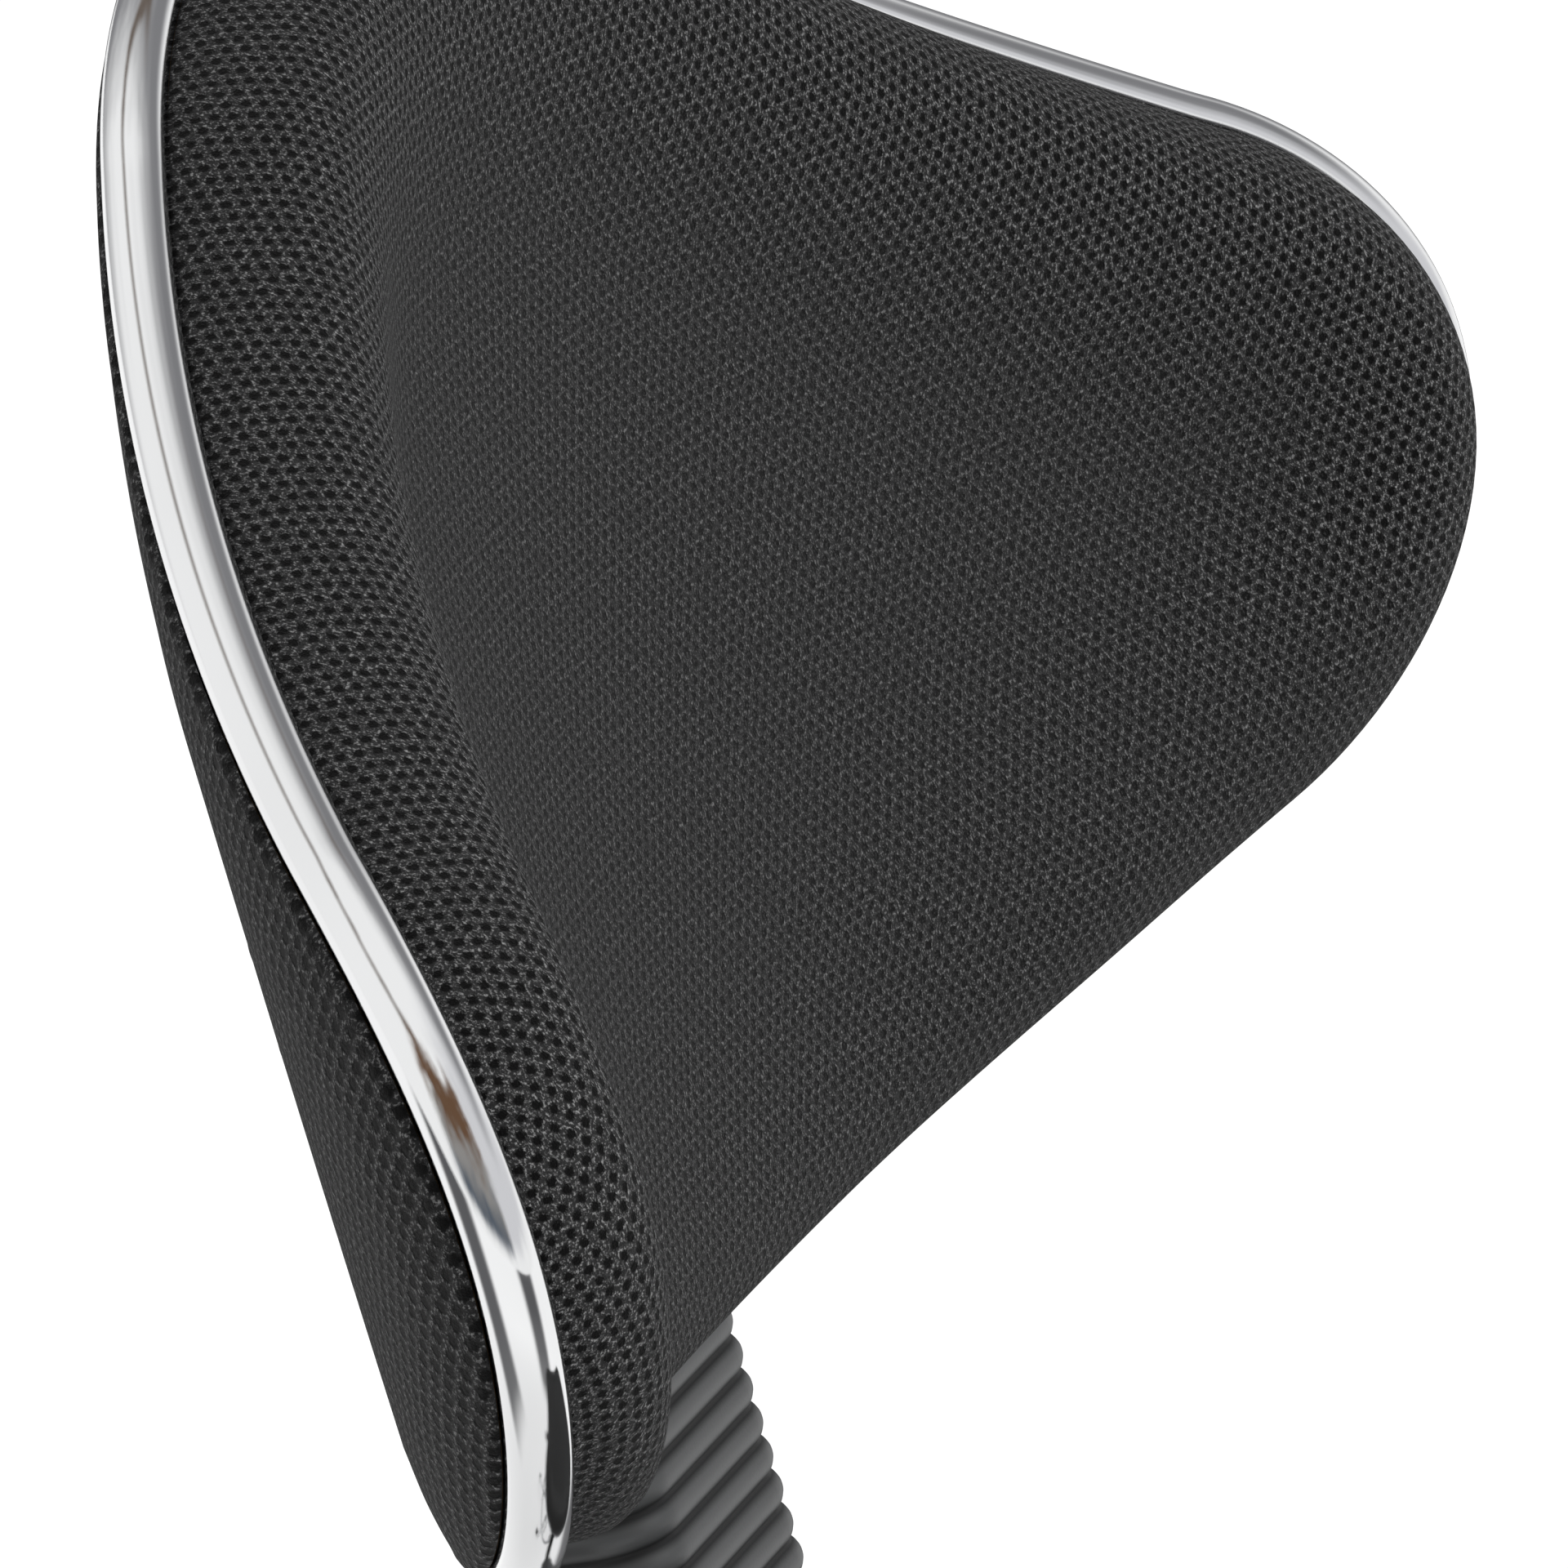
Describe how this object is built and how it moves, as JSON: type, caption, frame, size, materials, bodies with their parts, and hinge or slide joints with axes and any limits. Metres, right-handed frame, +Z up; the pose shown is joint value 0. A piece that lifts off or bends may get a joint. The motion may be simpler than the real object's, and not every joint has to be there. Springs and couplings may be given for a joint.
{
  "type": "drafting chair",
  "caption": "Drafting chair with a winged mesh backrest edged in bright trim, bellows on its upright, padded seat, gas lift, foot ring and castered star base.",
  "frame": {"origin": "on the floor, on the axis of the lift column", "axes": "+Z up, the sitter faces -Y, the backrest is at +Y, the height lever is at -X"},
  "size_m": [0.6285, 0.6803, 1.1364],
  "materials": {
    "mesh_fabric": "black spacer mesh over foam",
    "chrome_trim": "polished half-round strip",
    "bellows_plastic": "satin moulded sleeve",
    "base_metal": "polished casting",
    "bright_tube": "chromed steel tube",
    "black_steel": "black powder coat",
    "bare_steel": "ground steel",
    "black_plastic": "fine-grained moulding",
    "wheel_plastic": "smooth nylon",
    "plywood": "bare plywood"
  },
  "bodies": {
    "base": {"star_base": "base_metal", "column_tube": "bright_tube", "guide_bush": "black_plastic", "thrust_bearing": "bare_steel"},
    "caster_1": {"caster_hood_1": "black_plastic", "caster_stem_1": "bare_steel", "caster_axle_1": "bare_steel"},
    "wheel_left_1": {"caster_wheel_left_1": "wheel_plastic"},
    "wheel_right_1": {"caster_wheel_right_1": "wheel_plastic"},
    "caster_2": {"caster_hood_2": "black_plastic", "caster_stem_2": "bare_steel", "caster_axle_2": "bare_steel"},
    "wheel_left_2": {"caster_wheel_left_2": "wheel_plastic"},
    "wheel_right_2": {"caster_wheel_right_2": "wheel_plastic"},
    "caster_3": {"caster_hood_3": "black_plastic", "caster_stem_3": "bare_steel", "caster_axle_3": "bare_steel"},
    "wheel_left_3": {"caster_wheel_left_3": "wheel_plastic"},
    "wheel_right_3": {"caster_wheel_right_3": "wheel_plastic"},
    "caster_4": {"caster_hood_4": "black_plastic", "caster_stem_4": "bare_steel", "caster_axle_4": "bare_steel"},
    "wheel_left_4": {"caster_wheel_left_4": "wheel_plastic"},
    "wheel_right_4": {"caster_wheel_right_4": "wheel_plastic"},
    "caster_5": {"caster_hood_5": "black_plastic", "caster_stem_5": "bare_steel", "caster_axle_5": "bare_steel"},
    "wheel_left_5": {"caster_wheel_left_5": "wheel_plastic"},
    "wheel_right_5": {"caster_wheel_right_5": "wheel_plastic"},
    "foot_ring": {"foot_ring": "bright_tube", "foot_ring_sleeve": "black_plastic"},
    "foot_knob": {"foot_ring_knob": "black_plastic"},
    "lift_rod": {"piston_rod": "bare_steel", "piston_head": "bare_steel", "rod_clip": "bare_steel"},
    "seat": {"pressure_cylinder": "black_steel", "rod_guide": "black_plastic", "seat_mechanism": "black_steel", "bar_guide": "black_steel", "seat_board": "plywood", "seat_cushion": "mesh_fabric", "seat_trim": "chrome_trim", "seat_under_cover": "black_plastic", "seat_bolts": "bare_steel", "armrest_inserts": "bare_steel", "lever_pivot": "bare_steel"},
    "release_pin": {"release_pin": "bare_steel"},
    "lever": {"height_lever": "black_steel", "lever_grip": "black_plastic"},
    "back_bar": {"back_bar": "black_steel", "bellows_collar": "bellows_plastic", "bellows": "bellows_plastic"},
    "depth_knob": {"depth_knob": "black_plastic"},
    "backrest": {"back_board": "plywood", "back_cushion": "mesh_fabric", "rear_panel": "mesh_fabric", "back_trim": "chrome_trim", "back_carriage": "black_plastic", "back_bolts": "bare_steel"},
    "height_knob": {"height_knob": "black_plastic"}
  },
  "joints": [
    {"name": "caster_swivel_1", "type": "hinge", "parent": "base", "child": "caster_1", "pos_m": [0, 0.29, 0.0603], "axis": [0, 0, 1], "continuous": true},
    {"name": "wheel_left_roll_1", "type": "hinge", "parent": "caster_1", "child": "wheel_left_1", "pos_m": [-0.01813, 0.29845, 0.025], "axis": [-0.4226, -0.9063, 0], "continuous": true},
    {"name": "wheel_right_roll_1", "type": "hinge", "parent": "caster_1", "child": "wheel_right_1", "pos_m": [-0.01813, 0.29845, 0.025], "axis": [-0.4226, -0.9063, 0], "continuous": true},
    {"name": "caster_swivel_2", "type": "hinge", "parent": "base", "child": "caster_2", "pos_m": [-0.27581, 0.08962, 0.0603], "axis": [0, 0, 1], "continuous": true},
    {"name": "wheel_left_roll_2", "type": "hinge", "parent": "caster_2", "child": "wheel_left_2", "pos_m": [-0.28945, 0.07499, 0.025], "axis": [0.7314, -0.682, 0], "continuous": true},
    {"name": "wheel_right_roll_2", "type": "hinge", "parent": "caster_2", "child": "wheel_right_2", "pos_m": [-0.28945, 0.07499, 0.025], "axis": [0.7314, -0.682, 0], "continuous": true},
    {"name": "caster_swivel_3", "type": "hinge", "parent": "base", "child": "caster_3", "pos_m": [-0.17046, -0.23461, 0.0603], "axis": [0, 0, 1], "continuous": true},
    {"name": "wheel_left_roll_3", "type": "hinge", "parent": "caster_3", "child": "wheel_left_3", "pos_m": [-0.16076, -0.25211, 0.025], "axis": [0.8746, 0.4848, 0], "continuous": true},
    {"name": "wheel_right_roll_3", "type": "hinge", "parent": "caster_3", "child": "wheel_right_3", "pos_m": [-0.16076, -0.25211, 0.025], "axis": [0.8746, 0.4848, 0], "continuous": true},
    {"name": "caster_swivel_4", "type": "hinge", "parent": "base", "child": "caster_4", "pos_m": [0.17046, -0.23461, 0.0603], "axis": [0, 0, 1], "continuous": true},
    {"name": "wheel_left_roll_4", "type": "hinge", "parent": "caster_4", "child": "wheel_left_4", "pos_m": [0.19009, -0.2308, 0.025], "axis": [-0.1908, 0.9816, 0], "continuous": true},
    {"name": "wheel_right_roll_4", "type": "hinge", "parent": "caster_4", "child": "wheel_right_4", "pos_m": [0.19009, -0.2308, 0.025], "axis": [-0.1908, 0.9816, 0], "continuous": true},
    {"name": "caster_swivel_5", "type": "hinge", "parent": "base", "child": "caster_5", "pos_m": [0.27581, 0.08962, 0.0603], "axis": [0, 0, 1], "continuous": true},
    {"name": "wheel_left_roll_5", "type": "hinge", "parent": "caster_5", "child": "wheel_left_5", "pos_m": [0.27824, 0.10947, 0.025], "axis": [-0.9925, 0.1219, 0], "continuous": true},
    {"name": "wheel_right_roll_5", "type": "hinge", "parent": "caster_5", "child": "wheel_right_5", "pos_m": [0.27824, 0.10947, 0.025], "axis": [-0.9925, 0.1219, 0], "continuous": true},
    {"name": "foot_ring_height", "type": "slide", "parent": "base", "child": "foot_ring", "axis": [0, 0, 1], "range_m": [-0.06, 0.1]},
    {"name": "foot_knob_turn", "type": "hinge", "parent": "foot_ring", "child": "foot_knob", "pos_m": [0, 0, 0.26], "axis": [0.7071, 0.7071, 0], "range_deg": [0, 540]},
    {"name": "seat_swivel", "type": "hinge", "parent": "base", "child": "lift_rod", "pos_m": [0, 0, 0.08465], "axis": [0, 0, 1], "continuous": true},
    {"name": "seat_height", "type": "slide", "parent": "lift_rod", "child": "seat", "axis": [0, 0, 1], "range_m": [-0.12, 0.12]},
    {"name": "height_lever_lift", "type": "hinge", "parent": "seat", "child": "lever", "pos_m": [-0.05, 0, 0.6224], "axis": [0, 1, 0], "range_deg": [0, 5], "stiffness_Nm_per_rad": 3, "springref_deg": -5.73},
    {"name": "release_pin_press", "type": "slide", "parent": "seat", "child": "release_pin", "axis": [0, 0, -1], "range_m": [0, 0.0045]},
    {"name": "back_depth", "type": "slide", "parent": "seat", "child": "back_bar", "axis": [0, 1, 0], "range_m": [-0.015, 0.03]},
    {"name": "depth_knob_turn", "type": "hinge", "parent": "seat", "child": "depth_knob", "pos_m": [0, 0.087, 0.5918], "axis": [0, 0, -1], "range_deg": [0, 540]},
    {"name": "back_height", "type": "slide", "parent": "back_bar", "child": "backrest", "axis": [0, 0.2924, 0.9563], "range_m": [-0.03, 0.04], "deforming": ["bellows"]},
    {"name": "height_knob_turn", "type": "hinge", "parent": "backrest", "child": "height_knob", "pos_m": [0, 0.33947, 0.94466], "axis": [0, 0.9563, -0.2924], "range_deg": [0, 540]}
  ],
  "couplings": [
    {"joint": "release_pin_press", "follows": "height_lever_lift", "m_per_rad": 0.05}
  ]
}
